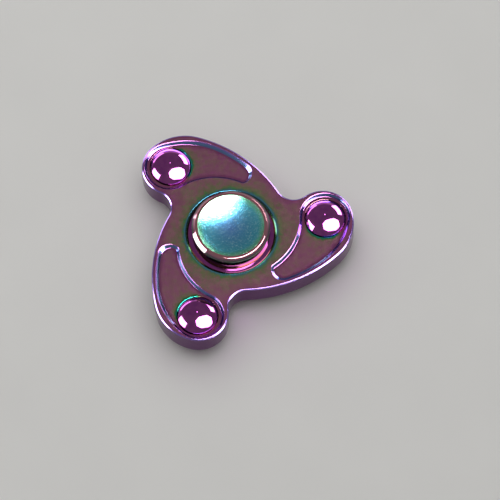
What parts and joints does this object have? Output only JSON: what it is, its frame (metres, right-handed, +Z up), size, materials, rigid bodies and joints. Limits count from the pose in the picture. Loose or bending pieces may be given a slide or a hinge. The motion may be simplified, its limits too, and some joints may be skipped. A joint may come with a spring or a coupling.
{
  "type": "fidget spinner",
  "caption": "Three-armed metal fidget spinner: swept arms with comma pockets and domed weights turn on a ball bearing between two dished finger caps.",
  "frame": {"origin": "on the spin axis, in the plane that the bottom cap's rim rests on", "axes": "+Z up along the spin axis, towards the top cap; +X from the axis through the middle of weight_1; weight_2 and weight_3 follow counter-clockwise"},
  "size_m": [0.0535, 0.0571, 0.0148],
  "materials": {
    "body_plating": "rainbow interference plating on metal: dull plum flats, green near the hub and sockets, teal and violet edges",
    "weight_plating": "polished violet interference plating",
    "cap_plating": "satin teal dish, polished plum rim, interference plating",
    "race_steel": "ground and polished bearing steel",
    "ball_steel": "polished bearing steel",
    "cage_steel": "pressed stainless steel",
    "shield_steel": "rolled stainless steel sheet",
    "clip_steel": "spring steel, dark"
  },
  "bodies": {
    "caps": {"top_cap": "cap_plating", "bottom_cap": "cap_plating", "bearing_inner_race": "race_steel"},
    "rotor": {"body": "body_plating", "weight_1": "weight_plating", "weight_2": "weight_plating", "weight_3": "weight_plating", "bearing_outer_race": "race_steel", "shield_upper": "shield_steel", "shield_lower": "shield_steel", "shield_clip_upper": "clip_steel", "shield_clip_lower": "clip_steel"},
    "cage": {"bearing_cage": "cage_steel"},
    "ball_01": {"ball_01": "ball_steel"},
    "ball_02": {"ball_02": "ball_steel"},
    "ball_03": {"ball_03": "ball_steel"},
    "ball_04": {"ball_04": "ball_steel"},
    "ball_05": {"ball_05": "ball_steel"},
    "ball_06": {"ball_06": "ball_steel"},
    "ball_07": {"ball_07": "ball_steel"},
    "ball_08": {"ball_08": "ball_steel"},
    "ball_09": {"ball_09": "ball_steel"},
    "ball_10": {"ball_10": "ball_steel"}
  },
  "joints": [
    {"name": "rotor_spin", "type": "hinge", "parent": "caps", "child": "rotor", "pos_m": [0, 0, 0.0074], "axis": [0, 0, 1], "continuous": true},
    {"name": "cage_spin", "type": "hinge", "parent": "caps", "child": "cage", "pos_m": [0, 0, 0.0074], "axis": [0, 0, 1], "continuous": true},
    {"name": "ball_01_roll", "type": "hinge", "parent": "cage", "child": "ball_01", "pos_m": [0.00476, 0, 0.0074], "axis": [0, 0, 1], "continuous": true},
    {"name": "ball_02_roll", "type": "hinge", "parent": "cage", "child": "ball_02", "pos_m": [0.00385, 0.0028, 0.0074], "axis": [0, 0, 1], "continuous": true},
    {"name": "ball_03_roll", "type": "hinge", "parent": "cage", "child": "ball_03", "pos_m": [0.00147, 0.00453, 0.0074], "axis": [0, 0, 1], "continuous": true},
    {"name": "ball_04_roll", "type": "hinge", "parent": "cage", "child": "ball_04", "pos_m": [-0.00147, 0.00453, 0.0074], "axis": [0, 0, 1], "continuous": true},
    {"name": "ball_05_roll", "type": "hinge", "parent": "cage", "child": "ball_05", "pos_m": [-0.00385, 0.0028, 0.0074], "axis": [0, 0, 1], "continuous": true},
    {"name": "ball_06_roll", "type": "hinge", "parent": "cage", "child": "ball_06", "pos_m": [-0.00476, 0, 0.0074], "axis": [0, 0, 1], "continuous": true},
    {"name": "ball_07_roll", "type": "hinge", "parent": "cage", "child": "ball_07", "pos_m": [-0.00385, -0.0028, 0.0074], "axis": [0, 0, 1], "continuous": true},
    {"name": "ball_08_roll", "type": "hinge", "parent": "cage", "child": "ball_08", "pos_m": [-0.00147, -0.00453, 0.0074], "axis": [0, 0, 1], "continuous": true},
    {"name": "ball_09_roll", "type": "hinge", "parent": "cage", "child": "ball_09", "pos_m": [0.00147, -0.00453, 0.0074], "axis": [0, 0, 1], "continuous": true},
    {"name": "ball_10_roll", "type": "hinge", "parent": "cage", "child": "ball_10", "pos_m": [0.00385, -0.0028, 0.0074], "axis": [0, 0, 1], "continuous": true}
  ],
  "couplings": [
    {"joint": "cage_spin", "follows": "rotor_spin", "ratio": 0.60415},
    {"joint": "ball_01_roll", "follows": "rotor_spin", "ratio": 2.2963},
    {"joint": "ball_02_roll", "follows": "rotor_spin", "ratio": 2.2963},
    {"joint": "ball_03_roll", "follows": "rotor_spin", "ratio": 2.2963},
    {"joint": "ball_04_roll", "follows": "rotor_spin", "ratio": 2.2963},
    {"joint": "ball_05_roll", "follows": "rotor_spin", "ratio": 2.2963},
    {"joint": "ball_06_roll", "follows": "rotor_spin", "ratio": 2.2963},
    {"joint": "ball_07_roll", "follows": "rotor_spin", "ratio": 2.2963},
    {"joint": "ball_08_roll", "follows": "rotor_spin", "ratio": 2.2963},
    {"joint": "ball_09_roll", "follows": "rotor_spin", "ratio": 2.2963},
    {"joint": "ball_10_roll", "follows": "rotor_spin", "ratio": 2.2963}
  ]
}
